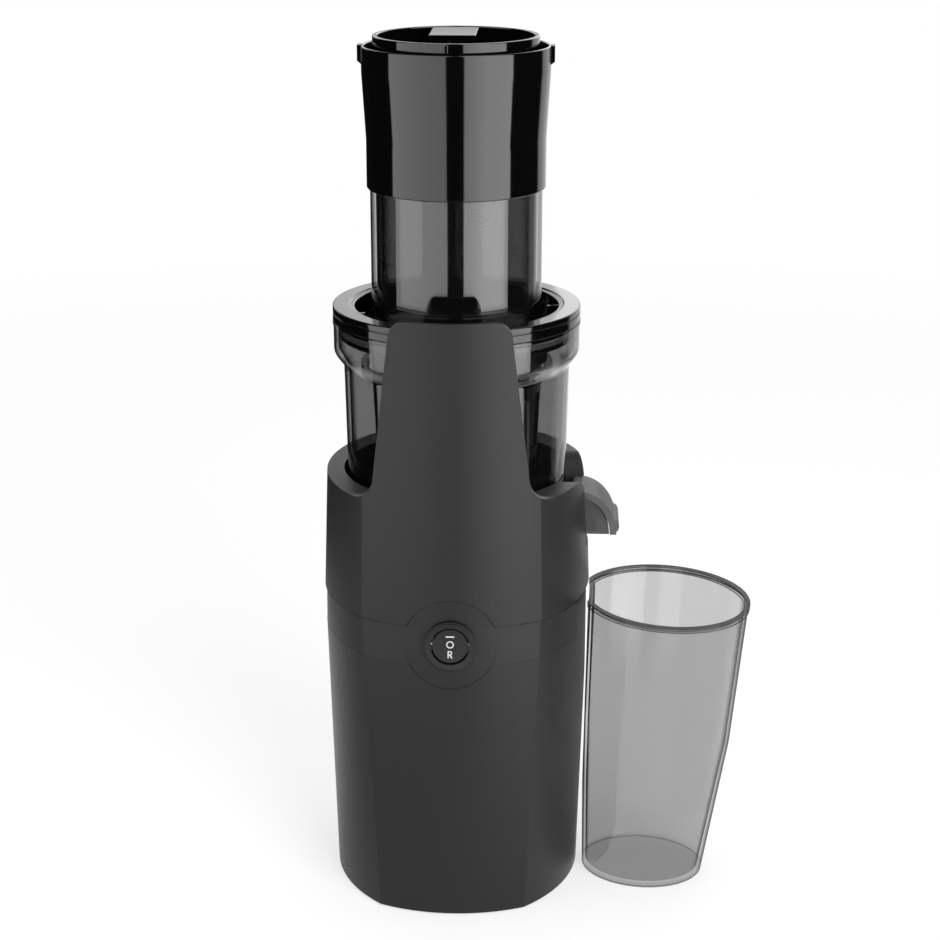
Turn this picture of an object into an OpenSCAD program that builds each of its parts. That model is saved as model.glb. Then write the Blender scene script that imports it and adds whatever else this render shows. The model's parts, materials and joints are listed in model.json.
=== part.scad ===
// Cold press juicer: a tapered motor body with a front tongue, a clear pressing drum that lifts out of
// it, a lid with a wide feed chute and pusher, and a loose juice cup beside the spout.
// Millimetres, +Z up, origin on the drive axis at the floor. The switch is on -Y, the spout on +X.

/* [Motor body] */
// Height of the lower shell, up to the seam
lower_shell_h = 167; // [158:1:176]
// Height of the upper housing, from the seam to its rim
upper_housing_h = 65; // [60:1:72]
// Height of the front tongue above the rim
tongue_h = 96; // [80:1:100]
// Half the body's width at the seam
seam_half_w = 72; // [71:0.5:76]
// How much narrower each side is at the floor than at the seam
side_taper = 4.5; // [2.5:0.5:6.5]
// How much narrower each side is at the rim than at the seam
rim_taper = 3.5; // [1:0.5:4]
// Half the body's depth at the seam and above
body_half_d = 74.5; // [73:0.5:77]
// How much less the front and the back reach out at the floor than at the seam
front_taper = 2.5; // [0.5:0.5:4.5]
// Wall of both body shells
shell_wall = 2.6; // [2:0.1:3]
// Height of the band below the seam, in which the lower shell draws in
band_h = 21; // [15:1:28]
// How far the band draws in at the seam
band_depth = 0.9; // [0.4:0.1:1]
// Radius of the disc that the band makes round the switch
band_disc_r = 24.6; // [22:0.2:27]
// Half the tongue's width near its top
tongue_half_w = 31.2; // [28:0.2:34]
// Lean of the tongue's side edges from the vertical, in degrees
tongue_lean = 6.7; // [5:0.1:8]
// Radius of the tongue's top corners
tongue_corner_r = 9; // [6:0.5:12]
// Radius of the fillets where the tongue meets the rim
tongue_fillet_r = 13; // [9:0.5:15]

/* [Switch] */
// Distance of the switch's centre below the seam
switch_drop = 9; // [8:0.5:12]
// Radius of the switch bezel
bezel_r = 13.3; // [12.8:0.1:13.8]
// Radius of the opening in the bezel
bezel_hole_r = 10.15; // [9.8:0.05:10.6]
// Depth of the switch behind the bezel
switch_depth = 22; // [18:1:26]

/* [Drum] */
// Outer radius of the drum wall at its floor
drum_base_r = 57.6; // [56.5:0.1:58]
// Outer radius of the drum wall under its shoulder
drum_top_r = 59.5; // [58.6:0.1:60]
// Outer radius of the drum's collar
collar_r = 64.7; // [64:0.1:66]
// Wall of the drum
drum_wall = 2.4; // [2:0.1:2.8]
// Height of the drum
drum_h = 123.4; // [118:0.2:128]
// Height of the collar
collar_h = 15; // [13:0.5:23]
// Height of the shoulder under the collar
shoulder_h = 10; // [6:0.5:12]

/* [Juice outlets] */
// Half the width of the spout
spout_half_w = 14; // [12:0.5:15]
// Reach of the spout from the drive axis
spout_reach = 86; // [83:0.5:88]
// Height of the spout
spout_h = 24; // [22:0.5:25]
// Height of the spout's floor above the drum's underside
spout_lift = 8; // [7:0.5:9]

/* [Lid and feed] */
// Outer radius of the lid
lid_r = 65; // [64.8:0.1:67]
// Height of the lid's ring
lid_h = 8; // [6:0.5:10]
// Width of the flat band on top of the lid
lid_band_w = 9.3; // [8:0.2:11]
// Outer radius of the feed chute
chute_r = 44.5; // [43.5:0.1:45.2]
// Wall of the feed chute
chute_wall = 3; // [2.4:0.1:3.4]
// Height of the feed chute above the lid's top
chute_h = 126; // [118:1:132]
// Height of the gloss sleeve round the chute
sleeve_h = 72; // [60:1:80]
// Wall of the sleeve's lower half
sleeve_wall = 1.7; // [1.5:0.1:2.1]
// How far the sleeve flares out at its rim
sleeve_flare = 2; // [1.4:0.1:3.3]
// Height of the pusher's cap above the chute
pusher_cap_h = 11.7; // [9:0.1:14]
// How far the pusher's cap laps over the edge of the chute
cap_lap = 0.9; // [0.5:0.1:1.9]

/* [Juice cup] */
// Height of the cup
cup_h = 162.5; // [150:0.5:165]
// Wall of the cup
cup_wall = 2; // [1.6:0.1:2.4]
// Floor of the cup
cup_floor = 3; // [2:0.5:5]
// Clearance between the cup and the motor body
cup_gap = 1.8; // [1:0.1:3]

/* [Drive] */
// Tooth size of the gearbox gears, as their module
gear_m = 1.5; // [1.4:0.05:1.55]
// Tooth size of the brush drive gears, as their module
brush_m = 2; // [1.9:0.05:2.05]
// Face width of the gears
gear_w = 10; // [8:0.5:11]
// Radius of the motor can
motor_r = 36; // [32:0.5:38]
// Height of the motor can
motor_h = 68; // [60:1:70]
// Radius of the output shaft
shaft_r = 7; // [6:0.1:7.2]
// Width across the flats of the shaft's hexagon
hex_w = 10; // [9:0.1:10.5]

/* [Hidden] */

$fn = 96;
eps = 0.02;              // overlap used only inside one solid
seat_gap = 0.3;          // clearance under a piece that rests on another body
slip = 0.05;             // radial clearance of shafts, pins and screws
fit = 0.3;               // clearance round pieces that lift out
arc_n = 24;              // points along each side of the body's outline
far = 400;               // length of a cut that runs right through

// Heights of the body
edge_z = 0.6;
seam_z = lower_shell_h;
rim_z = seam_z + upper_housing_h;
top_z = rim_z + tongue_h;
band_z = seam_z - band_h;
ledge_t = 2.6;
well_h = 42;
deck_z = rim_z - well_h;
deck_t = 3.4;
deck_under = deck_z - deck_t;
switch_z = seam_z - switch_drop;

// Plan of the body, as half width, half depth and the place of its soft corners
base_half_w = seam_half_w - side_taper;
rim_half_w = seam_half_w - rim_taper;
base_half_d = body_half_d - front_taper;
base_section = [base_half_w, base_half_d, base_half_w - 28.5, base_half_d - 8.5];
seam_section = [seam_half_w, body_half_d, seam_half_w - 25, body_half_d - 14.5];
rim_section = [rim_half_w, body_half_d, rim_half_w - 23.5, body_half_d - 14];
top_section = [rim_half_w - 2.5, body_half_d - 0.3, rim_half_w - 24.5, body_half_d - 14];
band_section = base_section + (seam_section - base_section) * (band_z - edge_z) / (seam_z - edge_z);
panel_y = body_half_d - 24.5;        // how far in the cuts of the front and back panels start

// Well for the drum
well_gap = 1;
well_wall = 2.4;
well_r = max(drum_base_r, drum_top_r) + well_gap;
slot_half_w = spout_half_w + fit + 0.2;
slot_corner_r = 5;
slot_block_w = 4;                    // wall of the block that lines each outlet slot

// Front tongue and the disc round the switch
tongue_w_drop = 10;                  // how far below its top the tongue's width is given
band_step = 0.06;                    // step at the band's lower edge
band_disc_gap = 0.2;
band_disc_depth = 0.35;

// Recess beside the cup
nest_half_w = 30;
nest_depth = 1.4;
nest_edge = 1.8;
nest_z = 100;
nest_x = 40;

// Underside
cover_z = 2;
cover_t = 4;
cover_top = cover_z + cover_t;
foot_h = cover_z;
foot_r = 9;
foot_stem_r = 2.5;
foot_at = [base_half_w - 31.5, base_half_d - 23];
pad_r = 30;
pad_hole_r = 22;
pad_inset = 1;
cover_screw_at = [base_half_w - 45.5, base_half_d - 17];
cover_screw_r = 1.5;
cover_screw_head_r = 3.1;
cover_boss_r = 4;
cover_boss_h = 16;

// Motor and the bracket that carries it
pillar_at = [seam_half_w - 26, body_half_d - 36.5];
pillar_r = 6;
bracket_z = 102;
bracket_t = 3;
bracket_top = bracket_z + bracket_t;
screw_r = 2;
screw_head_r = 2 * screw_r;
screw_head_h = 4;
screw_reach = 25;                    // how far the body screws run into the upper housing
motor_screw_r = 1.5;
bolt_circle = 20;
motor_wall = 2.5;
motor_top = bracket_z;
motor_z = motor_top - motor_h;
end_cap_t = 8;
end_cap_lip = 4;
motor_shaft_r = 4;
motor_bearing_r = 8;
fan_z = cover_top + 3;
fan_h = 9;
fan_r = motor_r - 2;
fan_hub_r = 9;

// Gearbox: two equal stages, so that the output turns on the motor's axis
pressure = 25;
pinion_teeth = 12;
wheel_teeth = 36;
gear_play = 0.12;
gear_gap = 1.5;
centre_d = gear_m * (pinion_teeth + wheel_teeth) / 2;
wheel_tip_r = gear_m * (wheel_teeth / 2 + 1);
box_wall = 2.5;
box_r = wheel_tip_r + gear_gap + box_wall;
box_z = bracket_top;
box_floor_t = 3;
stage_gap = 4;
stage1_z = box_z + box_floor_t + 3;
stage2_z = stage1_z + gear_w + stage_gap;
box_lid_z = stage2_z + gear_w + stage_gap;
box_lid_t = 3;
box_ear_r = 5;
box_screw_r = 1.6;
box_ears = [[box_r - 3.5, centre_d / 2], [3.5 - box_r, centre_d / 2], [box_r - 7.5, 7.5 - box_r],
    [7.5 - box_r, 7.5 - box_r]];
bearing_r = 13;
bearing_w = 7;
tower_h = 22;
tower_top = box_lid_z + tower_h;
counter_pin_r = 3;
seal_r = 13;

// Control board on the front wall, and the cord's bushing in the back wall
board_y = -(motor_r + 13);
board_t = 1.6;
board_z = 34;
board_w = 64;
board_h = 60;
board_hole_x = board_w / 2 - 8;
board_holes = [for (sx = [-1, 1], z = [board_z + 8, board_z + board_h - 8]) [sx * board_hole_x, z]];
board_screw_r = 1.2;
bushing_z = 32;
bushing_r = 7;
bushing_wall_y = base_half_d + (body_half_d - base_half_d) * (bushing_z - edge_z) / (seam_z - edge_z);
vent_z = 26;
vent_h = 30;
vent_w = 3;
vent_pitch = 7;

// Switch
face_y = -body_half_d;
bezel_seat = 1.6;
bezel_lip = 1.2;                     // width of the bezel that lies on the shell
rocker_face_y = face_y - 0.6;
rocker_r = bezel_hole_r - 1;
pivot_y = rocker_face_y + 3.5;
rocker_pin_r = 0.9;

// Brush drive under the strainer
sun_teeth = 12;
idler_teeth = 12;
ring_teeth = 36;
idler_d = brush_m * (sun_teeth + idler_teeth) / 2;
ring_r = brush_m * ring_teeth / 2;
idler_pin_r = 3;

// Heights of the drum and what it holds
drum_z = deck_z + seat_gap;
drum_floor_t = 3;
drum_floor_z = drum_z + drum_floor_t;
drum_top = drum_z + drum_h;
drum_bead = 0.5;
drum_bead_h = 2;
brush_gear_z = drum_floor_z + 1.7;
brush_gear_w = 5;
brush_gear_top = brush_gear_z + brush_gear_w;
strainer_z = brush_gear_top + 3;
strainer_floor_t = 3;
strainer_top = drum_top - 26;
hub_r = 8;
hub_wall = 1.8;
hub_top = drum_floor_z + 22;
hex_top = hub_top + 26;
magnet_at = [11.6 - drum_base_r, 0];
magnet_r = 4;

// Strainer and brush carrier, which follow the drum's wall
carrier_gap = 4.7;
carrier_t = 3;
carrier_r = min(drum_base_r, drum_top_r) - drum_wall - carrier_gap;
carrier_top = strainer_top + 3;
carrier_ring_h = 6;
wiper_t = 1.6;
strainer_wall = 1.6;
strainer_rim_r = carrier_r - 5.5;
strainer_base_r = strainer_rim_r - 4;
sheet_t = 0.5;
lug_r = strainer_rim_r + 4;

// Auger
auger_hub_r = 12;
auger_neck_r = 9.5;
auger_hub_top = hex_top + 4;
flange_z = strainer_z + strainer_floor_t + 1;
screw_z = flange_z + 2;
auger_turns = 1.75;

// Outlets: the juice spout on the right and the pulp channel at the back
spout_z = drum_z + spout_lift;
outlet_x = drum_base_r - drum_wall;
channel_half_w = spout_half_w - 1;
channel_wall = 2;
hood_x = well_r + 5.5;               // where the hood starts to curve down
mouth_x = spout_reach - 10.5;        // where the channel's floor ends
hinge_x = well_r + 4;
hinge_z = spout_z + spout_h - 2.5;
hinge_r = 1;
barrel_r = 2.3;
barrel_half_w = spout_half_w - 3.4;
cap_t = 2;
cap_flange_w = 2.2;
cap_flange_t = 3.6;
lip_r = 4.2;
lip_at = [spout_reach - 2.8, spout_z + 4.6];
flap_x = mouth_x + 2.2;
flap_z = spout_z + 12.6;

// Heights of the lid and the feed
lid_z = drum_top + seat_gap;
lid_top = lid_z + lid_h;
lid_groove = 0.8;
lid_groove_z = lid_z + 4.1;
skirt_h = 9;
band_r = lid_r - lid_band_w;
band_wall = 2.2;
trough_z = lid_z - 8;
trough_t = 2.4;
chute_z = trough_z + trough_t;
chute_foot_r = 2.5;
chute_top = lid_top + chute_h;
sleeve_r = chute_r + sleeve_wall;
sleeve_rim_r = sleeve_r + sleeve_flare;
sleeve_top = chute_top + 7;
sleeve_z = sleeve_top - sleeve_h;
auger_top = trough_z - 8;

// Pusher
bore_r = chute_r - chute_wall;
pusher_r = bore_r - fit;
pusher_wall = 2.2;
pusher_z = trough_z + 4;
pusher_floor_t = 3;
pusher_cap_r = bore_r + cap_lap;
cap_z = chute_top + seat_gap;
cap_top = cap_z + pusher_cap_h;
cap_wall = 2.6;
core_r = 15.8;
bar_x = -2;
bar_half_w = 12;
well_depth = 10;
grip_depth = 4;
grip_y = [-18, -1];
rib_x = -4.2;
rib_w = 2.4;

// Juice cup: oval at its floor, half way up and at its rim, as centre, half axes and turn
cup_base = [seam_half_w + 32.3, -9.5, 33.6, 28.8, -10];
cup_middle = [seam_half_w + 38.2, -9.9, 42.4, 36.6, -40];
cup_rim = [seam_half_w + 41.5, -10.1, 48.2, 42.4, -55];
cup_n = 72;
cup_bead = 0.8;
cup_bead_h = 3;

dark_body = [0.19, 0.19, 0.195];
gloss_black = [0.04, 0.04, 0.045];
smoky = [0.35, 0.35, 0.36, 0.55];
pale_smoky = [0.6, 0.6, 0.61, 0.5];
steel = [0.72, 0.73, 0.75];
dark_steel = [0.4, 0.41, 0.43];
rubber_black = [0.08, 0.08, 0.08];
nylon = [0.9, 0.9, 0.86];
silicone = [0.5, 0.5, 0.52];
board_green = [0.1, 0.35, 0.18];

// Points along an arc from a towards b that bulges to the right of the way by s
function bulge(a, b, s, n) =
    let (c = norm(b - a), r = c * c / (8 * s) + s / 2, half = asin(c / 2 / r),
        u = (b - a) / c, out = [u[1], -u[0]], mid = (a + b) / 2 - out * (r - s))
    [for (i = [0:n - 1]) let (t = half * (2 * i / n - 1)) mid + r * (u * sin(t) + out * cos(t))];

// Points of a circle from angle a0 to a1
function arc(c, r, a0, a1, n) =
    [for (i = [0:n]) let (a = a0 + (a1 - a0) * i / n) c + r * [cos(a), sin(a)]];

// The same points on the other side of the first axis, in reverse order
function mirrored(points) =
    [for (i = [len(points) - 1:-1:0]) [-points[i][0], points[i][1]]];

// Outline of the body in plan: a bowed front and back panel, and two bowed sides
function outline(s, inset) =
    let (k = 1 - inset / norm([s[2], s[3]]), w = s[0] - inset, d = s[1] - inset,
        x = s[2] * k, y = s[3] * k)
    concat(bulge([-x, -y], [x, -y], d - y, arc_n), bulge([x, -y], [x, y], w - x, arc_n),
        bulge([x, y], [-x, y], d - y, arc_n), bulge([-x, y], [-x, -y], w - x, arc_n));

// Outline of the cup at one height
function oval(s, inset) =
    [for (i = [0:cup_n - 1])
        let (a = 360 * i / cup_n, p = [(s[2] - inset) * cos(a), (s[3] - inset) * sin(a)])
        [s[0] + p[0] * cos(s[4]) - p[1] * sin(s[4]), s[1] + p[0] * sin(s[4]) + p[1] * cos(s[4])]];

function involute(a) = tan(a) * 180 / PI - a;

// Outline of a spur gear whose first tooth points along +X; thin takes play off each flank
function gear_outline(m, teeth, thin, add, ded) =
    let (rp = m * teeth / 2, rb = rp * cos(pressure), rt = rp + add * m, rr = rp - ded * m,
        r0 = max(rb, rr), half = 90 / teeth - thin / rp * 180 / PI + involute(pressure),
        radii = concat(rr < rb ? [rr] : [], [for (k = [0:3]) r0 + (rt - r0) * k / 3]), last = len(radii) - 1)
    [for (i = [0:teeth - 1]) for (k = [0:2 * last + 1])
        let (r = radii[k <= last ? k : 2 * last + 1 - k], turn = half - involute(acos(min(1, rb / r))),
            a = 360 * i / teeth + (k <= last ? -turn : turn)) r * [cos(a), sin(a)]];

module slab(points, z) {
    translate([0, 0, z]) linear_extrude(height = eps) polygon(points);
}

// The body's whole form from the floor to the tongue's top, drawn in by inset
module body_form(inset, under = 0, over = 0) {
    hull() {
        slab(outline(base_section, inset), edge_z - under);
        slab(outline(seam_section, inset), seam_z - eps / 2);
        slab(outline(rim_section, inset), rim_z);
        slab(outline(top_section, inset), top_z + over - eps);
    }
}

// Everything between two heights
module block(z0, z1) {
    translate([-far / 2, -far / 2, z0]) cube([far, far, z1 - z0]);
}

module ring(r_out, r_in, z0, z1) {
    translate([0, 0, z0]) difference() {
        cylinder(r = r_out, h = z1 - z0);
        translate([0, 0, -1]) cylinder(r = r_in, h = z1 - z0 + 2);
    }
}

module disc(r, z0, z1) {
    translate([0, 0, z0]) cylinder(r = r, h = z1 - z0);
}

// A hole from the floor up through everything
module hole(r) {
    disc(r, 0, far);
}

module gear(m, teeth, z0, w, bore_r, turn = 0) {
    translate([0, 0, z0]) linear_extrude(height = w) difference() {
        rotate(turn) polygon(gear_outline(m, teeth, gear_play, 0.95, 1.2));
        circle(r = bore_r);
    }
}

// A cylinder along Y from y0 to y1
module rod_y(r, y0, y1) {
    translate([0, y1, 0]) rotate([90, 0, 0]) cylinder(r = r, h = y1 - y0);
}

// A cylinder along X from x0 to x1
module rod_x(r, x0, x1) {
    translate([x0, 0, 0]) rotate([0, 90, 0]) cylinder(r = r, h = x1 - x0);
}

module at_corners(p) {
    for (sx = [-1, 1], sy = [-1, 1]) translate([sx * p[0], sy * p[1], 0]) children();
}

module at_box_ears() {
    for (p = box_ears) translate([p[0], p[1], 0]) children();
}

module at_motor_screws() {
    for (a = [45, 135, 225, 315]) rotate(a) translate([bolt_circle, 0, 0]) children();
}

module at_board_holes() {
    for (p = board_holes) translate([p[0], 0, p[1]]) children();
}

module at_idlers() {
    for (sx = [-1, 1]) translate([sx * idler_d, 0, 0]) children();
}

// Front view of the tongue and the rim that it grows from
module tongue_face() {
    n = [cos(tongue_lean), sin(tongue_lean)];
    reach = n * [tongue_half_w, top_z - tongue_w_drop];
    corner_z = top_z - tongue_corner_r;
    corner = [(reach - tongue_corner_r - n[1] * corner_z) / n[0], corner_z];
    fillet_z = rim_z + tongue_fillet_r;
    fillet = [(reach + tongue_fillet_r - n[1] * fillet_z) / n[0], fillet_z];
    right = concat(arc(corner, tongue_corner_r, 90, tongue_lean, 10),
        arc(fillet, tongue_fillet_r, 180 + tongue_lean, 270, 12), [[fillet[0], rim_z - 5]]);
    polygon(concat(right, mirrored(right)));
}

// Front view of a slot for an outlet, with a round floor and flared top corners
module slot_face(half_w, z0) {
    flare = half_w;
    right = concat(arc([half_w - slot_corner_r, z0 + slot_corner_r], slot_corner_r, -90, 0, 6),
        arc([half_w + flare, rim_z - flare], flare, 180, 90, 12), [[half_w + flare, rim_z + 5]]);
    polygon(concat(right, mirrored(right)));
}

module outlet_slots() {
    for (turn = [90, 180]) rotate(turn) translate([0, -well_r + 4, 0]) rotate([90, 0, 0])
        linear_extrude(height = far) slot_face(slot_half_w, deck_z);
}

// Solid blocks that line the outlet slots, up into the rim ledge
module slot_blocks() {
    w = spout_half_w + slot_block_w;
    intersection() {
        body_form(0.5);
        for (turn = [0, 90]) rotate(turn) translate([well_r, -w, deck_under])
            cube([far, 2 * w, rim_z - ledge_t + 1 - deck_under]);
    }
}

// Disc round the switch, seen from the front
module switch_disc(r) {
    translate([0, 0, switch_z]) rod_y(r, -far, -panel_y);
}

// Outside of the lower shell, which draws in from the band's lower edge to the seam
module lower_shell_skin() {
    difference() {
        intersection() {
            body_form(0);
            block(0, seam_z);
        }
        difference() {
            block(band_z, seam_z + 1);
            hull() {
                slab(outline(band_section, band_step), band_z - eps);
                slab(outline(seam_section, band_depth), seam_z);
            }
        }
        difference() {
            switch_disc(band_disc_r);
            body_form(band_disc_depth, 1);
        }
    }
    intersection() {
        body_form(band_depth);
        difference() {
            switch_disc(band_disc_r - band_disc_gap);
            block(0, seam_z - eps);
        }
    }
}

// Pillars, screw bosses and board posts inside the lower shell
module lower_shell_posts() {
    at_corners(pillar_at) disc(pillar_r, cover_top, bracket_z);
    for (sx = [-1, 1], sy = [-1, 1]) pillar_web(sx, sy);
    at_corners(cover_screw_at) disc(cover_boss_r, cover_top, cover_top + cover_boss_h);
    for (sx = [-1, 1], sy = [-1, 1]) cover_boss_web(sx, sy);
    at_board_holes() rod_y(board_screw_r + 2.3, -far, board_y - board_t);
}

// Web between a pillar and the nearest side wall
module pillar_web(sx, sy) {
    x0 = pillar_at[0] + pillar_r - 1;
    x1 = seam_half_w;
    translate([sx > 0 ? x0 : -x1, sy * pillar_at[1] - 1, cover_top])
        cube([x1 - x0, 2, bracket_z - cover_top]);
}

// Web between a cover screw's boss and the front or back wall
module cover_boss_web(sx, sy) {
    y0 = cover_screw_at[1] + cover_boss_r - 1;
    y1 = base_half_d;
    translate([sx * cover_screw_at[0] - 1, sy > 0 ? y0 : -y1, cover_top])
        cube([2, y1 - y0, cover_boss_h - 2]);
}

module lower_shell() {
    color(dark_body) {
        difference() {
            lower_shell_skin();
            body_form(shell_wall, 2);
            switch_disc(bezel_r - bezel_lip);
            translate([0, 0, switch_z]) rod_y(bezel_r + fit, -far, face_y + bezel_seat);
            translate([0, 0, bushing_z]) rod_y(bushing_r + slip, panel_y, far);
            vents();
            cup_nest();
        }
        difference() {
            intersection() {
                body_form(shell_wall - 0.5);
                lower_shell_posts();
            }
            at_corners(pillar_at) {
                disc(screw_head_r + 0.4, 0, bracket_z - screw_head_h - 2);
                hole(screw_r + slip);
            }
            at_corners(cover_screw_at) disc(cover_screw_r + slip, 0, cover_top + 12);
            at_board_holes() rod_y(board_screw_r + slip, board_y - board_t - 9, board_y);
        }
    }
}

// Air slots low in the back of the lower shell, on both sides of the cord's bushing
module vents() {
    for (i = [-4:4]) if (abs(i) > 1) translate([i * vent_pitch - vent_w / 2, panel_y, vent_z])
        cube([vent_w, far, vent_h]);
}

// Upright recess beside the cup, which runs out downwards
module cup_nest() {
    difference() {
        translate([nest_x, -nest_half_w, nest_z]) cube([far, 2 * nest_half_w, seam_z + 1 - nest_z]);
        translate([0, 0, nest_z - 1]) linear_extrude(height = far) polygon(outline(seam_section, nest_depth));
    }
}

// Chamfer of the upper housing above the cup's recess
module nest_chamfer() {
    difference() {
        translate([nest_x, -nest_half_w, seam_z - 1]) cube([far, 2 * nest_half_w, 1 + nest_edge]);
        hull() {
            slab(outline(seam_section, nest_edge + 1), seam_z - 1 - eps);
            slab(outline(seam_section, 0), seam_z + nest_edge);
        }
    }
}

module upper_housing() {
    color(dark_body) difference() {
        union() {
            difference() {
                intersection() {
                    body_form(0);
                    union() {
                        block(seam_z, rim_z);
                        rotate([90, 0, 0]) linear_extrude(height = far) tongue_face();
                    }
                }
                intersection() {
                    body_form(shell_wall, 0, 2);
                    union() {
                        block(seam_z - 1, rim_z - ledge_t);
                        block(rim_z, top_z + 1);
                    }
                }
            }
            ring(well_r + well_wall, well_r, deck_under, rim_z - 1);
            disc(well_r + well_wall, deck_under, deck_z);
            at_corners(pillar_at) disc(pillar_r, bracket_top, deck_under + 0.5);
            slot_blocks();
        }
        disc(well_r, deck_z, rim_z + 1);
        disc(seal_r + slip, deck_under - 1, deck_z + 1);
        outlet_slots();
        at_corners(pillar_at) disc(screw_r + slip, bracket_top - 1, bracket_top + screw_reach + 1);
        switch_disc(band_disc_r);
        nest_chamfer();
    }
}

module bottom_cover() {
    color(rubber_black) difference() {
        intersection() {
            body_form(shell_wall + fit, 1);
            block(cover_z, cover_top);
        }
        at_corners(foot_at) hole(foot_stem_r + slip);
        ring(pad_r + slip, pad_hole_r - slip, 0, cover_z + pad_inset);
        at_corners(cover_screw_at) {
            hole(cover_screw_r + slip);
            disc(cover_screw_head_r + fit, 0, cover_z + 2);
        }
        at_corners(pillar_at) hole(screw_head_r + 0.4);
        for (i = [0:11]) rotate(i * 30) translate([10, -1.5, 0]) cube([9, 3, far]);
    }
}

module rubber_feet() {
    color(rubber_black) at_corners(foot_at) {
        disc(foot_r, 0, foot_h);
        disc(foot_stem_r, foot_h - eps, cover_top);
    }
}

module rest_pad() {
    color(rubber_black) ring(pad_r, pad_hole_r, 0, cover_z + pad_inset);
}

module base_screws() {
    color(steel) at_corners(cover_screw_at) {
        disc(cover_screw_r, cover_z + 1, cover_top + 11);
        disc(cover_screw_head_r, cover_z, cover_z + 2);
    }
}

module body_screws() {
    seat = bracket_z - screw_head_h - 2;
    color(steel) at_corners(pillar_at) {
        disc(screw_r, seat - 2, bracket_top + screw_reach);
        disc(screw_head_r, seat - screw_head_h, seat);
    }
}

module motor_bracket() {
    color(steel) difference() {
        union() {
            disc(motor_r + 6, bracket_z, bracket_top);
            at_corners(pillar_at) disc(pillar_r + 1, bracket_z, bracket_top);
            for (sx = [-1, 1], sy = [-1, 1]) rotate(sx * sy * atan(pillar_at[1] / pillar_at[0]))
                translate([sx > 0 ? 0 : -norm(pillar_at), -pillar_r, bracket_z])
                    cube([norm(pillar_at), 2 * pillar_r, bracket_t]);
            translate([-box_r, 0, bracket_z]) cube([2 * box_r, centre_d + 10, bracket_t]);
        }
        at_corners(pillar_at) hole(screw_r + slip);
        hole(motor_shaft_r + 4);
        at_box_ears() hole(box_screw_r + slip);
        at_motor_screws() hole(motor_screw_r + slip);
    }
}

// Screws that hold the motor to its bracket, flush with its top
module bracket_screws() {
    color(steel) at_motor_screws() disc(motor_screw_r, motor_top - 6, bracket_top);
}

module motor_can() {
    color(dark_steel) difference() {
        disc(motor_r, motor_z, motor_top);
        disc(motor_r - motor_wall, motor_z - 1, motor_top - 6);
        hole(motor_shaft_r + slip);
        at_motor_screws() disc(motor_screw_r + slip, motor_top - 7, motor_top + 1);
    }
}

module motor_end_cap() {
    color(steel) difference() {
        union() {
            disc(motor_r - motor_wall - slip, motor_z, motor_z + end_cap_lip);
            disc(motor_r, motor_z - end_cap_t + end_cap_lip, motor_z);
            disc(bearing_r, motor_z - end_cap_t, motor_z);
        }
        disc(motor_bearing_r + slip, motor_z - end_cap_t - 1, motor_z);
        hole(motor_shaft_r + 1.5);
        for (i = [0:5]) rotate(i * 60 + 30) translate([22, 0, 0]) hole(5);
    }
}

module motor_bearing() {
    color(steel) ring(motor_bearing_r, motor_shaft_r + slip, motor_z - end_cap_t, motor_z);
}

module motor_shaft() {
    color(steel) {
        disc(motor_shaft_r, fan_z, stage1_z + gear_w + 1);
        disc(motor_r - 8, motor_z + 12, motor_top - 14);
    }
}

module motor_pinion() {
    color(steel) gear(gear_m, pinion_teeth, stage1_z - 1, gear_w + 1, motor_shaft_r + slip);
}

module cooling_fan() {
    color(nylon) {
        ring(fan_hub_r, motor_shaft_r + slip, fan_z, fan_z + fan_h);
        for (i = [0:8]) rotate(i * 40) translate([fan_hub_r - 1, -0.8, fan_z + 1])
            cube([fan_r - fan_hub_r, 1.6, fan_h - 1.6]);
        ring(fan_r, fan_hub_r - 0.5, fan_z + fan_h - 1.2, fan_z + fan_h - 0.2);
    }
}

// Plan of the gearbox: two round chambers side by side, with ears for the screws
module box_plan(r, ears) {
    circle(r = r);
    translate([0, centre_d]) circle(r = r);
    if (ears) for (p = box_ears) translate(p) circle(r = box_ear_r);
}

module gearbox_housing() {
    color(dark_steel) difference() {
        translate([0, 0, box_z]) linear_extrude(height = box_lid_z - box_z) box_plan(box_r, true);
        translate([0, 0, box_z + box_floor_t]) linear_extrude(height = far) box_plan(box_r - box_wall, false);
        hole(motor_shaft_r + 4);
        at_box_ears() hole(box_screw_r + slip);
        translate([0, centre_d, 0]) disc(counter_pin_r + slip, box_z + 1, far);
    }
}

module gearbox_lid() {
    color(dark_steel) difference() {
        union() {
            translate([0, 0, box_lid_z]) linear_extrude(height = box_lid_t) box_plan(box_r, true);
            disc(bearing_r + 3, box_lid_z, tower_top);
            translate([0, centre_d, 0]) disc(counter_pin_r + 3, box_lid_z, box_lid_z + 6);
        }
        disc(bearing_r + slip, box_lid_z - 1, box_lid_z + bearing_w);
        disc(bearing_r + slip, tower_top - bearing_w, tower_top + 1);
        hole(shaft_r + 2);
        at_box_ears() hole(box_screw_r + slip);
        translate([0, centre_d, 0]) disc(counter_pin_r + slip, 0, box_lid_z + 4);
    }
}

module gearbox_screws() {
    color(steel) at_box_ears() {
        disc(box_screw_r, bracket_z, box_lid_z + box_lid_t + 1);
        disc(3, box_lid_z + box_lid_t, box_lid_z + box_lid_t + 2.4);
    }
}

module counter_pin() {
    color(steel) translate([0, centre_d, 0]) disc(counter_pin_r, box_z + 1, box_lid_z + 4);
}

module counter_gear() {
    bore = counter_pin_r + slip;
    color(nylon) translate([0, centre_d, 0]) {
        gear(gear_m, wheel_teeth, stage1_z, gear_w, bore, 180 / wheel_teeth);
        gear(gear_m, pinion_teeth, stage1_z + gear_w - eps, stage_gap + gear_w + eps, bore,
            180 / pinion_teeth);
    }
}

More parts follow.
